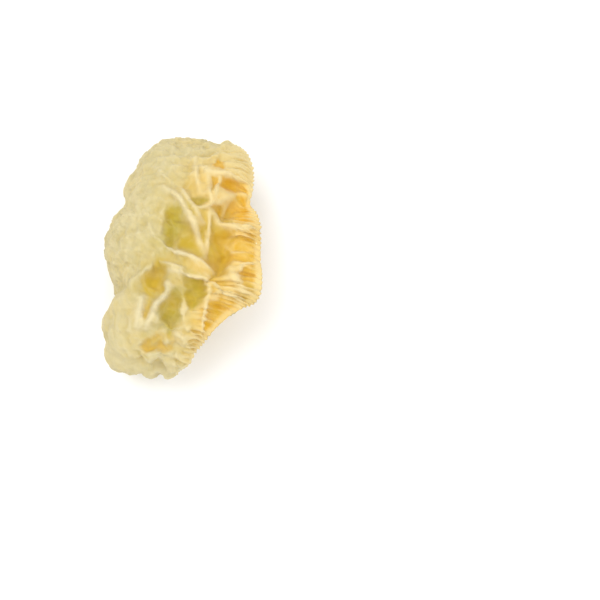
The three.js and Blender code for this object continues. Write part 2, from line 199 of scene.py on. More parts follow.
# Hollows between them: place and two radii as shares, a turn in degrees, how deep in metres,
# how strong the painted shade in them is, and how far that shade goes from olive, at 0, to amber,
# at 1. Those that don't sink are painted shade alone. Their edges are uneven: waves round each,
# how far they go, and how much the place turns them.
HOLLOW_WAVES = ((3, 0.1, 9), (5, 0.07, 7))
HOLLOW_FALL = 0.7
HOLLOWS = (
    {"at": (-0.06, 0.16), "size": (0.12, 0.15), "turn": -18, "sink": 0.013, "painted_shade": 0.85, "amber": 0.08},
    {"at": (0.18, 0.01), "size": (0.22, 0.1), "turn": -44, "sink": 0.013, "painted_shade": 1, "amber": 0.25},
    {"at": (0.14, 0.14), "size": (0.11, 0.15), "turn": -24, "sink": 0, "painted_shade": 0.38, "amber": 0.45},
    {"at": (0.22, 0.35), "size": (0.1, 0.03), "turn": 12, "sink": 0.009, "painted_shade": 0.9, "amber": 0.15},
    {"at": (0.47, 0.08), "size": (0.17, 0.21), "turn": -4, "sink": 0.016, "painted_shade": 1, "amber": 0.35},
    {"at": (0.48, -0.15), "size": (0.15, 0.09), "turn": 0, "sink": 0.01, "painted_shade": 1, "amber": 0.5},
    {"at": (0.77, 0.01), "size": (0.26, 0.13), "turn": 0, "sink": 0.009, "painted_shade": 1, "amber": 0.8},
    {"at": (0.68, 0.33), "size": (0.19, 0.11), "turn": 28, "sink": 0.013, "painted_shade": 1, "amber": 1},
    {"at": (0.63, 0.51), "size": (0.17, 0.05), "turn": -4, "sink": 0.01, "painted_shade": 1, "amber": 0.95},
    {"at": (0.41, 0.51), "size": (0.04, 0.08), "turn": 0, "sink": 0.009, "painted_shade": 1, "amber": 0.7},
    {"at": (0.48, 0.68), "size": (0.06, 0.04), "turn": 0, "sink": 0.006, "painted_shade": 0.85, "amber": 0.85},
    {"at": (0.86, 0.06), "size": (0.2, 0.1), "turn": 0, "sink": 0.002, "painted_shade": 0.6, "amber": 0.8},
    {"at": (-0.28, -0.29), "size": (0.12, 0.13), "turn": -14, "sink": 0.012, "painted_shade": 0.95, "amber": 0.35},
    {"at": (-0.38, -0.53), "size": (0.07, 0.07), "turn": 0, "sink": 0.009, "painted_shade": 1, "amber": 0.35},
    {"at": (-0.1, -0.52), "size": (0.11, 0.14), "turn": -6, "sink": 0.013, "painted_shade": 1, "amber": 0.12},
    {"at": (0.19, -0.37), "size": (0.14, 0.11), "turn": 0, "sink": 0.012, "painted_shade": 0.9, "amber": 0.2},
    {"at": (0.49, -0.53), "size": (0.19, 0.11), "turn": 30, "sink": 0.011, "painted_shade": 1, "amber": 0.8},
    {"at": (0.81, -0.25), "size": (0.1, 0.07), "turn": -20, "sink": 0.009, "painted_shade": 1, "amber": 0.85},
    {"at": (-0.25, -0.77), "size": (0.17, 0.06), "turn": 6, "sink": 0.006, "painted_shade": 0.7, "amber": 0.65},
    {"at": (0.19, 0.28), "size": (0.09, 0.06), "turn": 0, "sink": 0, "painted_shade": 0.8, "amber": 0.3},
    {"at": (-0.04, -0.17), "size": (0.12, 0.07), "turn": 0, "sink": 0, "painted_shade": 0.28, "amber": 0.35},
    {"at": (0.45, -0.33), "size": (0.15, 0.06), "turn": 0, "sink": 0, "painted_shade": 0.26, "amber": 0.6},
    {"at": (0.89, -0.42), "size": (0.1, 0.1), "turn": 0, "sink": 0, "painted_shade": 0.8, "amber": 0.5},
    {"at": (0.9, -0.14), "size": (0.11, 0.08), "turn": 0, "sink": 0, "painted_shade": 0.75, "amber": 0.8},
    {"at": (-0.16, -0.46), "size": (0.09, 0.06), "turn": 0, "sink": 0, "painted_shade": 0.5, "amber": 0.45},
    {"at": (0.03, -0.68), "size": (0.13, 0.06), "turn": 0, "sink": 0, "painted_shade": 0.32, "amber": 0.5},
)

# Heights on the ball: the sheet is drawn to creases above the first, and relief fades in between the
# next two. At the edge of the opening only a share of the relief is left.
CREASED_FROM = 0.1
CREASED_RISE = (0.15, 0.6)
EDGE_RELIEF = 0.4
EDGE_RELIEF_DEPTH = 0.15

# Gathers run in from the edge and pair up into ever wider folds: how many there are round the rim,
# then in metres where they start and end, and how far they stand.
GATHERS = (
    {"count": 126, "start": -0.012, "full": 0.006, "end": 0.034, "depth": 0.0014},
    {"count": 61, "start": 0.002, "full": 0.014, "end": 0.05, "depth": 0.0012},
)
WIDE_FOLDS = (
    {"count": 31, "start": 0.01, "full": 0.032, "end": 0.09, "depth": 0.0015},
    {"count": 15, "start": 0.02, "full": 0.06, "end": 0.14, "depth": 0.002},
)
# How unevenly they lie, end and stand: waves round the rim, and how strong they are together.
SWAY = {"waves": (3, 5, 8, 13, 19), "strength": 0.35}
UNEVEN_END = {"waves": (7, 11, 17, 29), "strength": 0.22}
UNEVEN_HEIGHT = {"waves": (9, 14, 23, 37), "strength": 0.42}

# The channel that the elastic pinches: how far in it lies, how wide it is, what it leaves of the
# gathers' height, and how thick the turned edge is.
PINCH_RUN = 0.0045
PINCH_WIDTH = 0.0022
PINCH_LEFT = 0.25
HEM_DEPTH = 0.003

# Rings of the sheet that is left to settle, from the rim inwards: points round each and rows of them,
# and the share of the sheet's depth that they take. Subdivision doubles both.
RING_BANDS = (
    {"count": 384, "rows": 9, "share": 0.13},
    {"count": 192, "rows": 38, "share": 0.66},
    {"count": 96, "rows": 7, "share": 0.13},
    {"count": 48, "rows": 3, "share": 0.045},
    {"count": 24, "rows": 2, "share": 0.035},
)

# Crumples: how many facets the cloth falls into, how high their edges stand and how wide they are.
# They fade in over a stretch of the sheet's depth.
CRUMPLES = (
    {"facets": 120, "rise": 0.0015, "width": 0.006},
    {"facets": 600, "rise": 0.0011, "width": 0.0026},
)
FINE_CRUMPLES = ({"facets": 2600, "rise": 0.0006, "width": 0.0012},)
CRUMPLED_DEPTH = (0.03, 0.2)

# While the cloth settles, its edge and its underside are held fast, and the rest ever more loosely.
HELD_DEPTH = 0.02
LOOSE_DEPTH = 0.2
EDGE_HOLD = 0.5
SAME_HOLD = 5e-4

# How painted shade and painted highlights are laid on the cloth. Folds that get painted shade: how
# many rounds of smoothing flatten them, and how deep they are in metres when their shade is full. A
# round moves each point a share of the way.
SMOOTHING = 0.6
SHARP_FOLD = {"rounds": 25, "depth": 0.0012}
BROAD_FOLD = {"rounds": 160, "depth": 0.005}
# Where a sharp fold's crest gets a painted highlight, how far a gather stands when the painted shade in its
# troughs and the highlight on its tops are full, how high on the ball painting fades in, and where a hollow's
# painted shade fades at its edge.
SHARP_CREST = (0.5, 2.0)
GATHER_SHOWN = 0.002
PAINTED_RISE = (0.1, 0.5)
HOLLOW_EDGE = (0.1, 0.5)
# It is warmer towards the gathered edge, and less so at the +Y end.
WARM_BREADTH = (-0.25, 0.55)
COOLER_LENGTH = (0.45, 0.8)
COOLER_SHARE = 0.65
# Away from hollows, how amber the painted shade is where the cloth is cool and warm, and how
# little that counts.
PLAIN_AMBER = (0.2, 0.8)
PLAIN_WEIGHT = 0.05
# Painted shade where lower layers show through the whole middle of the upper side: where it lies,
# and how strong it is.
LAYERED_PART = {"at": (0.16, -0.13), "size": (0.64, 0.66), "turn": -16}
LAYERED_SHADE = 0.68
# How much of a pale crest each thing makes, and how much less of it a gather makes in a hollow. On
# sharp folds and gathers the pale crest is a painted highlight; at the hem it is a paler band.
CREST_OF = {"sharp": 0.5, "hem": 0.5, "gather": 0.4, "less_in_hollow": 0.7}
# How much painted shade each thing makes, and how much of it the painted highlight on a crest hides.
PAINTED_SHADE_OF = {"hollow": 0.85, "deep_hollow": 0.25, "sharp": 0.1, "broad": 0.15, "gather": 0.35}
CREST_HIDES = {"painted_shade": 0.9, "layers": 0.4}

# The cloth's patterns: scale, detail, roughness and distortion of its noises, and the pitch of the
# welded points in metres. Then how far it lets light through, and how much of it isn't open.
CLOUDS = (95, 5, 0.6, 0)
PATCHES = (26, 3, 0.55, 0)
STRANDS = (38, 3, 0.5, 0.8)
FIBRES = (900, 3, 0.7, 1.5)
BOND_PITCH = 0.0022
TRANSLUCENCY = 0.33
COVER = 0.86

# The stage: area lights by name, place, size and watts.
LIGHTS = (
    ("key", (-0.6, 0.45, 1.6), 1.5, 17),
    ("fill", (1.3, -0.4, 1.4), 1.8, 12),
    ("front", (0.0, -1.5, 1.3), 1.8, 8),
)
SKY_STRENGTH = 0.78
FLOOR_SIZE = 12
FLOOR_GRAIN = (0.985, 1.0)


def fade(value, low, high):
    """A smooth step: 0 up to low and 1 from high on."""
    share = np.clip((value - low) / (high - low), 0, 1)
    return share * share * (3 - 2 * share)


def mix(low, high, share):
    return low + (high - low) * share


def select_only(obj):
    bpy.ops.object.select_all(action="DESELECT")
    obj.select_set(True)
    bpy.context.view_layer.objects.active = obj


def outline_reach(angle):
    """How far out the outline lies at an angle: a smooth curve through the points beside it."""
    corners = sorted((math.atan2(y, x), math.hypot(x, y)) for x, y in OUTLINE)
    angles = np.array([corner[0] for corner in corners])
    reaches = np.array([corner[1] for corner in corners])
    count = len(angles)
    start = np.searchsorted(angles, angle, side="right") - 1

    def near(step):
        index = start + step
        return angles[index % count] + np.floor(index / count) * FULL_TURN, reaches[index % count]

    (angle_0, reach_0), (angle_1, reach_1) = near(-1), near(0)
    (angle_2, reach_2), (angle_3, reach_3) = near(1), near(2)
    span = angle_2 - angle_1
    t = (angle - angle_1) / span
    slope_1 = (reach_2 - reach_0) / (angle_2 - angle_0) * span
    slope_2 = (reach_3 - reach_1) / (angle_3 - angle_1) * span
    bend = reach_1 - reach_2
    cubic = 2 * bend + slope_1 + slope_2
    return reach_1 + t * (slope_1 + t * (-3 * bend - 2 * slope_1 - slope_2 + t * cubic))


def rim_share(angle):
    """How much of its reach the ball keeps where the opening cuts it off."""
    share = np.minimum(np.abs(angle) / RIM_SPAN, 1)
    return 1 - (1 - math.cos(RIM_GAPE)) * np.cos(share * math.pi / 2)


@functools.cache
def even_angles():
    """Shares of the way round the opening's edge, and the angles on the ball where they are reached."""
    angle = np.linspace(0, FULL_TURN, EVEN_STEPS)
    depth = np.full(len(angle), EVEN_DEPTH)
    points = form_of(oval_points(angle, depth), depth, False)
    passed = np.concatenate([[0], np.cumsum(np.linalg.norm(np.diff(points, axis=0), axis=1))])
    return passed / passed[-1], angle


def ball_points(turn, depth):
    """Points of a unit ball, evenly spaced round the edge and drawn to the upper side further in."""
    shares, angles = even_angles()
    whole = np.floor(turn)
    even = np.interp(turn - whole, shares, angles) + FULL_TURN * whole
    crowded = FULL_TURN * turn + TOP_CROWDING * np.cos(FULL_TURN * turn)
    return oval_points(mix(even, crowded, fade(depth, EVEN_DEPTH, CROWDED_DEPTH)), depth)


def oval_points(angle, depth):
    """Points of a unit ball: ovals about one pair of foci, from the opening's edge to the far pole."""
    rim_along = math.tan(RIM_SPAN / 2)
    rim_up = math.tan(RIM_GAPE / 2)
    up = np.tan(np.minimum(mix(RIM_GAPE, math.pi, depth), math.pi - POLE_ROOM) / 2)
    along = np.sqrt(up * up + rim_along**2 - rim_up**2) * np.cos(angle)
    rise = up * np.sin(angle)
    square = along**2 + rise**2
    return np.stack([(1 - square) / (1 + square), 2 * along / (1 + square), 2 * rise / (1 + square)], axis=-1)


def path_distance(places, path):
    """Distance in metres from each place to a path of shares, how far along it is, and the way to it."""
    scale = np.array([HALF_BREADTH, HALF_LENGTH])
    points = np.array(path) * scale
    nearest = np.full(len(places), np.inf)
    passed = np.zeros(len(places))
    way = np.zeros((len(places), 2))
    lengths = np.linalg.norm(np.diff(points, axis=0), axis=1)
    before = 0.0
    for start, end, length in zip(points, points[1:], lengths):
        share = np.clip(((places - start) @ (end - start)) / length**2, 0, 1)
        toward = start + share[:, None] * (end - start) - places
        off = np.linalg.norm(toward, axis=1)
        closer = off < nearest
        way[closer] = toward[closer]
        nearest = np.where(closer, off, nearest)
        passed = np.where(closer, (before + share * length) / lengths.sum(), passed)
        before += length
    return nearest, passed, way


def drawn_to_creases(places):
    """Places moved sideways so that more of the sheet's points lie close to each crease."""
    nearest = np.full(len(places), np.inf)
    pull = np.zeros((len(places), 2))
    for crease in CREASES:
        off, _, way = path_distance(places, crease["path"])
        closer = off < nearest
        nearest = np.where(closer, off, nearest)
        pull[closer] = way[closer]
    strength = CREST_PULL * np.exp(-((nearest / CREST_PULL_WIDTH) ** 2))
    return places + pull * strength[:, None]


def hollow_share(places, hollow):
    """How much of a hollow is at each place: 1 in its middle and 0 well outside it."""
    scale = np.array([HALF_BREADTH, HALF_LENGTH])
    off = places - np.array(hollow["at"]) * scale
    turn = math.radians(hollow["turn"])
    across = (off[:, 0] * math.cos(turn) + off[:, 1] * math.sin(turn)) / (hollow["size"][0] * HALF_BREADTH)
    along = (off[:, 1] * math.cos(turn) - off[:, 0] * math.sin(turn)) / (hollow["size"][1] * HALF_LENGTH)
    bearing = np.arctan2(along, across)
    edge = np.ones(len(places))
    for (waves, strength, phase), place in zip(HOLLOW_WAVES, hollow["at"]):
        edge += strength * np.sin(waves * bearing + phase * place)
    return np.exp(-((np.hypot(across, along) / edge) ** 3) * HOLLOW_FALL)


def creases_near(places):
    """For each crease: itself, the distance to it in metres, and how much its ends take off it."""
    for crease in CREASES:
        off, passed, _ = path_distance(places, crease["path"])
        yield crease, off, np.sqrt(np.clip(np.sin(math.pi * mix(*CREASE_ENDS, passed)), 0, 1))


def relief(places):
    """The height that creases and hollows add to the upper side."""
    rise = np.zeros(len(places))
    for crease, off, taper in creases_near(places):
        rise = np.maximum(rise, crease["rise"] * taper * np.exp(-off / crease["foot"]))
    for hollow in HOLLOWS:
        rise -= hollow["sink"] * hollow_share(places, hollow)
    return rise


def crest_share(places):
    """1 on the crest of a crease and 0 off it, and less where the crease is low."""
    share = np.zeros(len(places))
    for crease, off, taper in creases_near(places):
        taper *= min(crease["rise"] / FULL_CREST, 1) ** LOW_CREST_POWER
        share = np.maximum(share, taper * np.exp(-((off / crease["crest"]) ** 2)))
    return share


def form_points(turn, depth, with_relief=True):
    """The form's points, by their share of the way round the edge and their depth in the sheet."""
    return form_of(ball_points(turn, depth), depth, with_relief)


def form_of(ball, depth, with_relief=True):
    """The cap without gathers: the ball stretched to the outline and pressed flat below."""
    radius = np.hypot(ball[:, 0], ball[:, 1])
    from_opening = np.arctan2(ball[:, 1], ball[:, 0])
    angle = np.arctan2(np.sin(from_opening + RIM_HEADING), np.cos(from_opening + RIM_HEADING))
    reach = mix(1, outline_reach(angle), fade(radius, 0, ROUND_MIDDLE)) / rim_share(from_opening)
    tuck = RIM_TUCK * fade(-ball[:, 2], 0, TUCK_FALL) * (1 - fade(depth, 0, TUCK_DEPTH))
    places = np.stack([np.cos(angle) * HALF_BREADTH, np.sin(angle) * HALF_LENGTH], axis=-1)
    places *= (radius * reach)[:, None]
    places = np.where((ball[:, 2] > CREASED_FROM)[:, None], drawn_to_creases(places), places)
    half_height = np.where(ball[:, 2] > 0, HEIGHT - BELT_HEIGHT, UNDERSIDE_SHARE * BELT_HEIGHT)
    z = BELT_HEIGHT + ball[:, 2] * half_height
    if with_relief:
        shown = fade(ball[:, 2], *CREASED_RISE) * mix(EDGE_RELIEF, 1, fade(depth, 0, EDGE_RELIEF_DEPTH))
        z = z + relief(places) * shown
    x = places[:, 0] - tuck * math.cos(RIM_HEADING)
    y = places[:, 1] - tuck * math.sin(RIM_HEADING)
    return np.stack([x, y, z], axis=-1)


def outward(turn, depth):
    """The direction out of the form at each point, from short steps along it."""
    step = 0.004
    inner = np.minimum(depth + step, 1 - step)
    round_ = form_points(turn + step, depth, False) - form_points(turn - step, depth, False)
    inwards = form_points(turn, inner + step, False) - form_points(turn, inner, False)
    normal = np.cross(inwards, round_)
    return normal / np.maximum(np.linalg.norm(normal, axis=1), TINY)[:, None]


def wander(turn, kind, rng):
    """A smooth random value round the rim."""
    total = np.zeros_like(turn)
    for wave in kind["waves"]:
        total += rng.normal() * np.cos(FULL_TURN * (wave * turn + rng.random()))
    return kind["strength"] * total / math.sqrt(len(kind["waves"]))


def gather_lift(turn, depth, levels):
    """How far gathers or folds lift each point off the form."""
    run = depth * CROWN_RUN
    lift = np.zeros_like(turn)
    for level in levels:
        rng = np.random.default_rng(SEED + level["count"])
        sway = wander(turn, SWAY, rng)
        end = level["end"] * (1 + wander(turn, UNEVEN_END, rng))
        swell = 1 + wander(turn, UNEVEN_HEIGHT, rng)
        strength = fade(run, level["start"], level["full"]) * (1 - fade(run, level["full"], end))
        lift += level["depth"] * swell * strength * np.cos(FULL_TURN * (level["count"] * turn + sway))
    pinch = np.exp(-(((run - PINCH_RUN) / PINCH_WIDTH) ** 2))
    return lift * (1 - (1 - PINCH_LEFT) * pinch)


def crumple_lift(points, levels):
    """Random facets with creased edges, some of them standing out and some pressed in."""
    lift = np.zeros(len(points))
    for level in levels:
        rng = np.random.default_rng(SEED + level["facets"])
        seeds = points[rng.choice(len(points), level["facets"], replace=False)]
        side = rng.choice((-1.0, 1.0), level["facets"])
        tree = KDTree(level["facets"])
        for index, seed in enumerate(seeds):
            tree.insert(seed, index)
        tree.balance()
        for index, point in enumerate(points):
            (_, first, near), (_, second, far) = tree.find_n(point, 2)
            sign = side[first] * side[second]
            lift[index] += sign * level["rise"] * math.exp(-(far - near) / level["width"])
    return lift


def ring_rows():
    """The depth of each ring and the points round it, from the rim to just short of the pole."""
    rows = []
    start = 0.0
    for band in RING_BANDS:
        for row in range(band["rows"]):
            rows.append((start + band["share"] * row / band["rows"], band["count"]))
        start += band["share"]
    return rows


def sheet_mesh(name):
    """The sheet's points by turn and depth, joined into one surface that closes at the pole."""
    rows = ring_rows()
    turn = np.concatenate([np.arange(count) / count for _, count in rows] + [np.zeros(1)])
    depth = np.concatenate([np.full(count, d) for d, count in rows] + [np.ones(1)])
    faces = []
    start = 0
    for (_, count), (_, next_count) in zip(rows, rows[1:]):
        here = start + np.arange(count)
        ahead = start + count + np.arange(next_count)
        if count == next_count:
            faces += list(zip(ahead, np.roll(ahead, -1), np.roll(here, -1), here))
        else:
            pairs = zip(here[::2], here[1::2], np.roll(here, -1)[1::2], np.roll(ahead, -1), ahead)
            for first, middle, last, ahead_last, ahead_first in pairs:
                faces += [(ahead_first, middle, first), (ahead_first, ahead_last, last, middle)]
        start += count
    here = start + np.arange(rows[-1][1])
    faces += [(start + len(here), b, a) for a, b in zip(here, np.roll(here, -1))]
    mesh = bpy.data.meshes.new(name)
    points = form_points(turn, depth)
    coarse = gather_lift(turn, depth, WIDE_FOLDS)
    facets = crumple_lift(points, CRUMPLES) * fade(depth, *CRUMPLED_DEPTH)
    points = points + outward(turn, depth) * (coarse + facets)[:, None]
    mesh.from_pydata(points, [], [tuple(map(int, face)) for face in faces])
    set_attribute(mesh, "turn_cos", np.cos(FULL_TURN * turn))
    set_attribute(mesh, "turn_sin", np.sin(FULL_TURN * turn))
    set_attribute(mesh, "depth", depth)
    mesh.update()
    return mesh, depth


def set_attribute(mesh, name, values):
    layer = mesh.attributes.new(name, "FLOAT", "POINT")
    layer.data.foreach_set("value", values.astype(np.float32))


def read(items, name, width=1, kind=float):
    """One property of all items of a mesh, as an array with a row for each."""
    values = np.empty(len(items) * width, dtype=kind)
    items.foreach_get(name, values)
    return values.reshape(-1, width) if width > 1 else values


def get_attribute(mesh, name):
    return read(mesh.attributes[name].data, "value")


def normals_of(mesh):
    return read(mesh.vertex_normals, "vector", 3)


def coordinates(mesh):
    return read(mesh.vertices, "co", 3)


def set_coordinates(mesh, points):
    mesh.vertices.foreach_set("co", points.astype(np.float32).ravel())
    mesh.update()


def smoothed(points, edges, rounds):
    """Each point moved to the middle of its neighbours, again and again."""
    count = np.bincount(edges.ravel(), minlength=len(points))
    points = points.copy()
    for _ in range(rounds):
        total = np.zeros_like(points)
        for axis in range(3):
            total[:, axis] += np.bincount(edges[:, 0], points[edges[:, 1], axis], len(points))
            total[:, axis] += np.bincount(edges[:, 1], points[edges[:, 0], axis], len(points))
        points += SMOOTHING * (total / count[:, None] - points)
    return points


def crumple(obj, depth, settings):
    """Lets cloth that is a little larger than the form buckle over it, with its rim held."""
    hold = obj.vertex_groups.new(name="hold")
    inner = mix(EDGE_HOLD, settings.hold, fade(depth, HELD_DEPTH, LOOSE_DEPTH))
    fast = (depth < HELD_DEPTH) | (coordinates(obj.data)[:, 2] < 0)
    weights = np.where(fast, 1.0, inner)
    for weight in np.unique(np.round(weights, 3)):
        members = np.nonzero(np.abs(weights - weight) < SAME_HOLD)[0]
        hold.add(members.tolist(), float(weight), "REPLACE")
    cloth = obj.modifiers.new("Cloth", "CLOTH")
    cloth.collision_settings.use_collision = False
    cloth.settings.quality = 6
    cloth.settings.mass = 0.02
    cloth.settings.air_damping = 2
    cloth.settings.tension_stiffness = 20
    cloth.settings.compression_stiffness = 20
    cloth.settings.shear_stiffness = 8
    cloth.settings.bending_stiffness = settings.stiffness
    cloth.settings.vertex_group_mass = "hold"
    cloth.settings.pin_stiffness = 1
    cloth.settings.shrink_min = -settings.slack
    cloth.settings.shrink_max = -settings.slack
    cloth.settings.effector_weights.gravity = 0
    cloth.point_cache.frame_start = 1
    cloth.point_cache.frame_end = settings.frames
    scene = bpy.context.scene
    for number in range(1, settings.frames + 1):
        scene.frame_set(number)
    select_only(obj)
    bpy.ops.object.modifier_apply(modifier=cloth.name)
    scene.frame_set(1)
    obj.vertex_groups.clear()


class Value:
    """A shader socket that takes part in Python expressions: each operator adds its Math node."""

    def __init__(self, nodes, socket):
        self.nodes = nodes
        self.socket = socket

    def math(self, operation, *others):
        return self.nodes.add("ShaderNodeMath", {"operation": operation}, self, *others)

    def __add__(self, other):
        return self.math("ADD", other)

    __radd__ = __add__

    def __sub__(self, other):
        return self.math("SUBTRACT", other)

    def __rsub__(self, other):
        return self.nodes.add("ShaderNodeMath", {"operation": "SUBTRACT"}, other, self)

    def __mul__(self, other):
        return self.math("MULTIPLY", other)

    __rmul__ = __mul__

    def clamped(self):
        return self.math("MINIMUM", 1).math("MAXIMUM", 0)

    def step(self, low, high):
        settings = {"interpolation_type": "SMOOTHSTEP"}
        return self.nodes.add("ShaderNodeMapRange", settings, self, low, high, 0, 1)

    def feed(self, socket):
        self.nodes.tree.links.new(self.socket, socket)


class Nodes:
    """A new material's node tree, with one method that adds any node."""

    MIX_SHARE, MIX_FIRST, MIX_SECOND, MIX_COLOUR_OUT = 0, 6, 7, 2

    def __init__(self, name):
        self.material = bpy.data.materials.new(name)
        self.material.use_nodes = True
        self.tree = self.material.node_tree
        self.tree.nodes.clear()
        self.output = self.tree.nodes.new("ShaderNodeOutputMaterial")

    def add(self, kind, settings, *values, out=0, **named):
        node = self.tree.nodes.new(kind)
        for key, value in settings.items():
            setattr(node, key, value)
        sockets = dict(enumerate(values))
        sockets.update((key.replace("_", " "), value) for key, value in named.items())
        self.fill(node, sockets)
        return Value(self, node.outputs[out])

    def fill(self, node, sockets):
        for key, value in sockets.items():
            if isinstance(value, Value):
                value.feed(node.inputs[key])
            else:
                node.inputs[key].default_value = value

    def colour_mix(self, share, first, second):
        mixed = self.add("ShaderNodeMix", {"data_type": "RGBA"}, out=self.MIX_COLOUR_OUT)
        sockets = {self.MIX_SHARE: share, self.MIX_FIRST: first, self.MIX_SECOND: second}
        self.fill(mixed.socket.node, sockets)
        return mixed

    def noise(self, vector, scale, detail, roughness=0.5, distortion=0.0):
        sockets = {"Vector": vector, "Scale": scale, "Detail": detail, "Roughness": roughness}
        return self.add("ShaderNodeTexNoise", {}, Distortion=distortion, **sockets)

    def finish(self, shader):
        shader.feed(self.output.inputs["Surface"])
        return self.material


def colour(rgb):
    return (*rgb, 1.0)


def cloth_material(colours):
    """Sheer spunbond cloth: cloudy fibres, bond points, painted shade of deeper yellow down in the folds, and
    painted highlights on the crests.
    """
    nodes = Nodes("sheer_nonwoven")
    cream, honey, pale = colour(colours.cream), colour(colours.honey), colour(colours.pale)
    place = nodes.add("ShaderNodeTexCoord", {}, out="Object")
    flat = nodes.add("ShaderNodeUVMap", {"uv_map": "flat"})
    painted = ({"attribute_name": name} for name in ("painted_shade", "amber", "warm", "crest"))
    painted_shade, amber, warm, crest = (nodes.add("ShaderNodeAttribute", name, out="Fac") for name in painted)

    clouds = nodes.noise(place, *CLOUDS)
    patches = nodes.noise(place, *PATCHES)
    strands = nodes.noise(place, *STRANDS)
    fibres = nodes.noise(flat, *FIBRES)
    across, along = (nodes.add("ShaderNodeSeparateXYZ", {}, flat, out=axis) for axis in (0, 1))
    per_metre = FULL_TURN / BOND_PITCH
    bond = ((across * per_metre).math("SINE") * (along * per_metre).math("SINE")).step(0.45, 0.8)
    lumps = clouds.step(0.32, 0.68)
    broad = patches.step(0.3, 0.7)
    drift = patches - 0.5

    # Painted shade for the folds, from olive to amber, and the lit cloth from cream to honey.
    hollow = nodes.colour_mix((amber + drift * 0.7).clamped(), colour(colours.olive), colour(colours.amber))
    lit = nodes.colour_mix((warm + drift * 0.9).clamped(), cream, honey)
    # How much painted shade shows, mottled, and random cloudy mottling of the cloth outside it.
    mottled = painted_shade * (0.8 + lumps * 0.2 + broad * 0.2)
    shade_and_mottle = (mottled + ((lumps - 0.5) * 0.26 + (broad - 0.5) * 0.24) * (1 - painted_shade)).clamped()
    base = nodes.colour_mix(shade_and_mottle, lit, hollow)
    # Thick fibres and wisps make the cloth paler, and so does the painted highlight on crests.
    wisps = (1 - (strands - 0.5).math("ABSOLUTE") * 9).clamped() * (0.3 - painted_shade * 0.15)
    fibres_and_highlight = ((fibres - 0.5).math("ABSOLUTE") * 0.8 * (1 - painted_shade) + crest * 0.75 + wisps).clamped()
    paler = nodes.colour_mix(fibres_and_highlight, base, nodes.colour_mix(warm * 0.55, pale, honey))

    height = clouds * 0.5 + fibres * 0.25 - bond * 0.35
    bump = nodes.add("ShaderNodeBump", {}, Strength=0.35, Distance=0.0006, Height=height)
    cloth = nodes.add("ShaderNodeBsdfPrincipled", {}, Base_Color=paler, Roughness=0.75, Normal=bump)
    nodes.fill(cloth.socket.node, {"Specular IOR Level": 0.2, "Sheen Weight": 0.3})
    glow = nodes.add("ShaderNodeBsdfTranslucent", {}, Color=colour(colours.glow), Normal=bump)
    woven = nodes.add("ShaderNodeMixShader", {}, TRANSLUCENCY, cloth, glow)
    clear = nodes.add("ShaderNodeBsdfTransparent", {})
    cover = (COVER + (clouds - 0.5) * 0.3 + painted_shade * 0.15).clamped()
    return nodes.finish(nodes.add("ShaderNodeMixShader", {}, cover, clear, woven))


def elastic_material(colours):
    """Thread wound round a rubber strand."""
    nodes = Nodes("covered_elastic")
    place = nodes.add("ShaderNodeTexCoord", {}, out="Object")
    threads = nodes.noise(place, 1800, 2)
    tint = nodes.colour_mix(threads, colour(colours.cream), colour(colours.pale))
    bump = nodes.add("ShaderNodeBump", {}, Strength=0.5, Distance=0.0002, Height=threads)
    wound = nodes.add("ShaderNodeBsdfPrincipled", {}, Base_Color=tint, Roughness=0.7, Normal=bump)
    return nodes.finish(wound)


def floor_material(colours):
    """A pale matt table top with a faint grain."""
    nodes = Nodes("pale_floor")
    place = nodes.add("ShaderNodeTexCoord", {}, out="Object")
    grain = nodes.noise(place, 3, 2)
    low, high = (colour(share * part for part in colours.floor) for share in FLOOR_GRAIN)
    tint = nodes.colour_mix(grain, low, high)
    return nodes.finish(nodes.add("ShaderNodeBsdfPrincipled", {}, Base_Color=tint, Roughness=0.9))


def fold_depth(mesh, fold):
    """How deep each point lies in a fold, from 1 on its bottom to -1 or less on its crest."""
    points = coordinates(mesh)
    edges = read(mesh.edges, "vertices", 2, np.int32)
    flattened = smoothed(points, edges, fold["rounds"])
    return np.einsum("ij,ij->i", flattened - points, normals_of(mesh)) / fold["depth"]


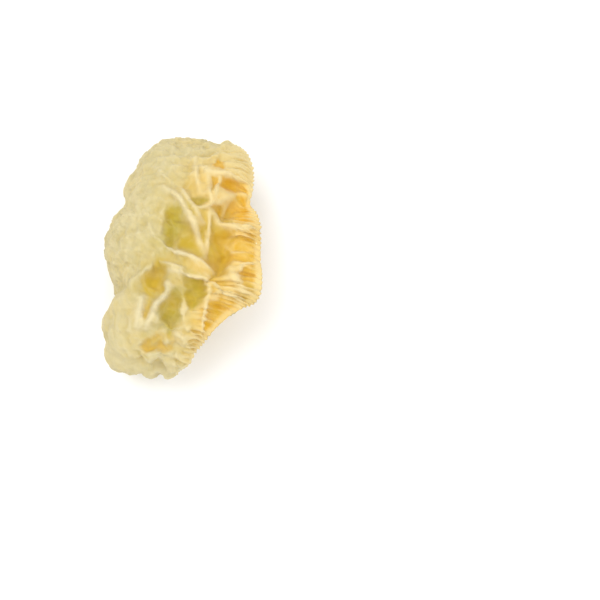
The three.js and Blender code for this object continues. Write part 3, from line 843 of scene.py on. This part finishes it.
def paint_folds(mesh, turn, depth):
    """Stores painted shade where each point lies deep in a fold or hollow, how amber that shade is, how warm
    the cloth is, and painted highlights on its crests with a paler band at the hem.
    """
    sharp = fold_depth(mesh, SHARP_FOLD)
    broad = np.clip(fold_depth(mesh, BROAD_FOLD), -1, 1)
    upper = fade(ball_points(turn, depth)[:, 2], *PAINTED_RISE)
    places = form_points(turn, depth, False)[:, :2]
    warm = fade(places[:, 0] / HALF_BREADTH, *WARM_BREADTH) * upper
    warm *= 1 - COOLER_SHARE * fade(places[:, 1] / HALF_LENGTH, *COOLER_LENGTH)
    # Painted shade in the hollows, and its hue from olive to amber.
    painted_shade = np.zeros(len(places))
    weight = np.full(len(places), PLAIN_WEIGHT)
    amber = mix(*PLAIN_AMBER, warm) * weight
    for hollow in HOLLOWS:
        share = fade(hollow_share(places, hollow), *HOLLOW_EDGE) * upper * hollow["painted_shade"]
        amber += hollow["amber"] * share
        weight += share
        painted_shade = 1 - (1 - painted_shade) * (1 - share)

    gather = gather_lift(turn, depth, GATHERS) / GATHER_SHOWN
    hem = 1 - fade(depth * CROWN_RUN, PINCH_RUN, PINCH_RUN + 2 * PINCH_WIDTH)
    # Painted highlight on the crests of creases, sharp folds and gathers, and a paler band at the hem.
    crests = (
        crest_share(places) * upper,
        CREST_OF["sharp"] * fade(-sharp, *SHARP_CREST),
        CREST_OF["hem"] * hem,
        CREST_OF["gather"] * np.clip(gather, 0, 1) * (1 - CREST_OF["less_in_hollow"] * painted_shade),
    )
    crest = np.maximum.reduce(crests)
    # More painted shade deep in broad and sharp folds and in gather troughs, less under a painted highlight.
    painted_shade *= PAINTED_SHADE_OF["hollow"] + PAINTED_SHADE_OF["deep_hollow"] * broad
    painted_shade += PAINTED_SHADE_OF["sharp"] * np.clip(sharp, -1, 1) + PAINTED_SHADE_OF["broad"] * broad
    painted_shade += PAINTED_SHADE_OF["gather"] * np.clip(-gather, 0, 1) * upper
    shown = np.clip(painted_shade * (1 - CREST_HIDES["painted_shade"] * crest), 0, 1)
    # Painted shade where lower layers show through the middle.
    layered = LAYERED_SHADE * hollow_share(places, LAYERED_PART) * upper
    layered *= 1 - CREST_HIDES["layers"] * crest
    set_attribute(mesh, "painted_shade", 1 - (1 - shown) * (1 - layered))
    set_attribute(mesh, "amber", amber / weight)
    set_attribute(mesh, "warm", warm)
    set_attribute(mesh, "crest", crest)


def lay_out_flat(mesh, turn, depth):
    """A UV map in metres: the sheet let out into a flat disc."""
    radius = (1 - depth) * CROWN_RUN
    angle = FULL_TURN * turn
    flat = np.stack([radius * np.cos(angle), radius * np.sin(angle)], axis=-1)
    corners = read(mesh.loops, "vertex_index", 1, np.int32)
    layer = mesh.uv_layers.new(name="flat")
    layer.data.foreach_set("uv", flat[corners].astype(np.float32).ravel())


def place_in_frame():
    """The shift that puts the form's middle where the frame has the crown's."""
    turns, depths = 180, 60
    grids = np.meshgrid(np.arange(turns) / turns, np.linspace(0, 1, depths))
    turn, depth = (grid.ravel() for grid in grids)
    points = form_points(turn, depth, False)
    shift = (np.array(CROWN_LOW + CROWN_HIGH) - points.min(axis=0) - points.max(axis=0)) / 2
    return np.array([shift[0], shift[1], CROWN_LOW.z])


def elastic_path(settings):
    """The middle of the strand, in the pinched channel of the edge."""
    turn = np.arange(STRAND_STEPS) / STRAND_STEPS
    depth = np.full(STRAND_STEPS, PINCH_RUN / CROWN_RUN)
    lift = gather_lift(turn, depth, WIDE_FOLDS) - HEM_DEPTH / 2
    points = form_points(turn, depth) + outward(turn, depth) * lift[:, None] + place_in_frame()
    points[:, 2] = np.maximum(points[:, 2], CROWN_LOW.z + settings.strand / 2 + SHEET_THICKNESS)
    return points


class CapSettings(bpy.types.PropertyGroup):
    """Sizes and colours that a user would change."""

    slack: bpy.props.FloatProperty(name="Slack", description="How much larger than its form the cloth is",
                                   default=0.1, min=0, max=0.5, subtype="FACTOR")
    stiffness: bpy.props.FloatProperty(name="Stiffness", description="How stiffly the cloth bends",
                                       default=0.02, min=0)
    hold: bpy.props.FloatProperty(name="Hold", description="How firmly the cloth keeps to its form",
                                  default=0.12, min=0, max=1, subtype="FACTOR")
    frames: bpy.props.IntProperty(name="Frames", description="How long the cloth is left to settle",
                                  default=24, min=1)
    strand: bpy.props.FloatProperty(name="Strand", description="Thickness of the elastic strand",
                                    default=0.0011, unit="LENGTH")
    cream: bpy.props.FloatVectorProperty(name="Cream", description="Cloth where light falls on one layer",
                                         default=(0.69, 0.635, 0.37), subtype="COLOR", size=3)
    honey: bpy.props.FloatVectorProperty(name="Honey", description="Cloth near the gathered edge",
                                         default=(0.93, 0.74, 0.31), subtype="COLOR", size=3)
    # Pale also stands for the painted highlight on crests.
    pale: bpy.props.FloatVectorProperty(name="Pale", description="Cloth where its fibres lie thick",
                                        default=(0.87, 0.82, 0.57), subtype="COLOR", size=3)
    # Olive and amber are painted shade: the cloth's colour where it lies shaded in folds and hollows.
    olive: bpy.props.FloatVectorProperty(name="Olive", description="Cloth down in the shaded folds",
                                         default=(0.52, 0.44, 0.06), subtype="COLOR", size=3)
    amber: bpy.props.FloatVectorProperty(name="Amber", description="Cloth down in the folds near the edge",
                                         default=(0.8, 0.46, 0.015), subtype="COLOR", size=3)
    glow: bpy.props.FloatVectorProperty(name="Glow", description="Light that comes through the cloth",
                                        default=(0.9, 0.73, 0.26), subtype="COLOR", size=3)
    floor: bpy.props.FloatVectorProperty(name="Floor", description="The table top",
                                         default=(0.96, 0.96, 0.96), subtype="COLOR", size=3)
    camera_height: bpy.props.FloatProperty(name="Camera height",
                                           description="Angle of the camera above the floor",
                                           default=math.radians(78), subtype="ANGLE")


class CAP_OT_make_crown(bpy.types.Operator):
    """Makes the gathered sheet of the cap"""

    bl_idname = "cap.make_crown"
    bl_label = "Make Crown"

    def execute(self, context):
        settings = context.scene.cap_settings
        mesh, depth = sheet_mesh("crown_sheet")
        obj = bpy.data.objects.new("crown_sheet", mesh)
        context.collection.objects.link(obj)
        set_coordinates(mesh, coordinates(mesh) + place_in_frame())
        crumple(obj, depth, settings)
        finer = obj.modifiers.new("Finer", "SUBSURF")
        finer.levels = finer.render_levels = 1
        select_only(obj)
        bpy.ops.object.modifier_apply(modifier=finer.name)
        mesh = obj.data
        angle = np.arctan2(get_attribute(mesh, "turn_sin"), get_attribute(mesh, "turn_cos"))
        turn = angle / FULL_TURN % 1
        depth = np.clip(get_attribute(mesh, "depth"), 0, 1)
        self.add_fine_folds(mesh, turn, depth)
        points = coordinates(mesh)
        points[:, 2] = np.maximum(points[:, 2], CROWN_LOW.z + SHEET_THICKNESS)
        set_coordinates(mesh, points)
        paint_folds(mesh, turn, depth)
        lay_out_flat(mesh, turn, depth)
        select_only(obj)
        bpy.ops.object.shade_smooth()
        wall = obj.modifiers.new("Wall", "SOLIDIFY")
        wall.thickness = SHEET_THICKNESS
        wall.offset = -1
        bpy.ops.object.modifier_apply(modifier=wall.name)
        obj.data.materials.append(cloth_material(settings))
        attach(obj, "root")
        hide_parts("crown")
        return {"FINISHED"}

    def add_fine_folds(self, mesh, turn, depth):
        """Fine gathers, small creases and sharp crests, on top of what the settled cloth has."""
        points = coordinates(mesh)
        upper = fade(ball_points(turn, depth)[:, 2], *CREASED_RISE)
        places = form_points(turn, depth, False)[:, :2]
        lift = gather_lift(turn, depth, GATHERS)
        lift += crumple_lift(points, FINE_CRUMPLES) * fade(depth, *CRUMPLED_DEPTH)
        lift += CREST_RISE * crest_share(places) * upper
        set_coordinates(mesh, points + normals_of(mesh) * lift[:, None])


class CAP_OT_make_elastic(bpy.types.Operator):
    """Makes the elastic strand inside the gathered edge"""

    bl_idname = "cap.make_elastic"
    bl_label = "Make Elastic"

    def execute(self, context):
        settings = context.scene.cap_settings
        curve = bpy.data.curves.new("elastic_strand", "CURVE")
        curve.dimensions = "3D"
        curve.bevel_depth = settings.strand / 2
        curve.bevel_resolution = 2
        points = elastic_path(settings)
        spline = curve.splines.new("POLY")
        spline.points.add(len(points) - 1)
        spline.points.foreach_set("co", np.insert(points, 3, 1.0, axis=1).ravel())
        spline.use_cyclic_u = True
        strand = bpy.data.objects.new("elastic_strand", curve)
        context.collection.objects.link(strand)
        select_only(strand)
        bpy.ops.object.convert(target="MESH")
        strand = context.object
        bpy.ops.object.shade_smooth()
        strand.data.materials.append(elastic_material(settings))
        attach(strand, "root")
        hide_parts("elastic")
        return {"FINISHED"}


class CAP_OT_make_stage(bpy.types.Operator):
    """Makes the floor, the lights and the camera"""

    bl_idname = "cap.make_stage"
    bl_label = "Make Stage"

    def execute(self, context):
        settings = context.scene.cap_settings
        bpy.ops.object.select_all(action="DESELECT")
        bpy.ops.mesh.primitive_plane_add(size=FLOOR_SIZE)
        floor = context.object
        floor.name = "floor"
        floor.data.materials.append(floor_material(settings))
        floor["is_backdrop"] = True
        for name, place, size, power in LIGHTS:
            self.add_light(context, name, place, size, power)
        world = bpy.data.worlds.new("soft_light")
        world.use_nodes = True
        sky = world.node_tree.nodes["Background"]
        sky.inputs["Color"].default_value = (1, 1, 1, 1)
        sky.inputs["Strength"].default_value = SKY_STRENGTH
        context.scene.world = world
        context.scene.view_settings.view_transform = "Standard"
        self.add_camera(context, settings)
        return {"FINISHED"}

    def add_light(self, context, name, place, size, power):
        light = bpy.data.lights.new(name, "AREA")
        light.size = size
        light.energy = power
        lamp = bpy.data.objects.new(name, light)
        lamp.location = place
        lamp.rotation_euler = (-Vector(place)).to_track_quat("-Z", "Y").to_euler()
        context.collection.objects.link(lamp)

    def add_camera(self, context, settings):
        """Frames the cap left of the picture's middle, as the photograph does."""
        frame_width = 0.624
        right = 0.12
        down = 0.045
        elevation = settings.camera_height
        camera = bpy.data.cameras.new("camera")
        camera.lens = 85
        distance = frame_width * camera.lens / camera.sensor_width
        toward = Vector((0, math.cos(elevation), -math.sin(elevation)))
        up = Vector((0, math.sin(elevation), math.cos(elevation)))
        aim = Vector((right, 0, BELT_HEIGHT)) - up * down
        rig = bpy.data.objects.new("camera", camera)
        rig.location = aim - toward * distance
        rig.rotation_euler = toward.to_track_quat("-Z", "Y").to_euler()
        context.collection.objects.link(rig)
        context.scene.camera = rig


class CAP_PT_panel(bpy.types.Panel):
    """Lists the cap's operators and settings"""

    bl_idname = "CAP_PT_panel"
    bl_label = "Bouffant Cap"
    bl_space_type = "VIEW_3D"
    bl_region_type = "UI"
    bl_category = "Bouffant Cap"

    def draw(self, context):
        for name in CapSettings.__annotations__:
            self.layout.prop(context.scene.cap_settings, name)
        for operator in (CAP_OT_make_crown, CAP_OT_make_elastic, CAP_OT_make_stage):
            self.layout.operator(operator.bl_idname)


CLASSES = (CapSettings, CAP_OT_make_crown, CAP_OT_make_elastic, CAP_OT_make_stage, CAP_PT_panel)


def register():
    for item in CLASSES:
        bpy.utils.register_class(item)
    bpy.types.Scene.cap_settings = bpy.props.PointerProperty(type=CapSettings)


def unregister():
    del bpy.types.Scene.cap_settings
    for item in reversed(CLASSES):
        bpy.utils.unregister_class(item)


def main():
    register()
    bpy.ops.cap.make_stage()
    bpy.ops.cap.make_crown()
    bpy.ops.cap.make_elastic()
    boxes = {"cad": CAD_BOX, "visual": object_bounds()}
    {name: [list(map(float, corner)) for corner in box] for name, box in boxes.items()}


if __name__ == "__main__":
    main()
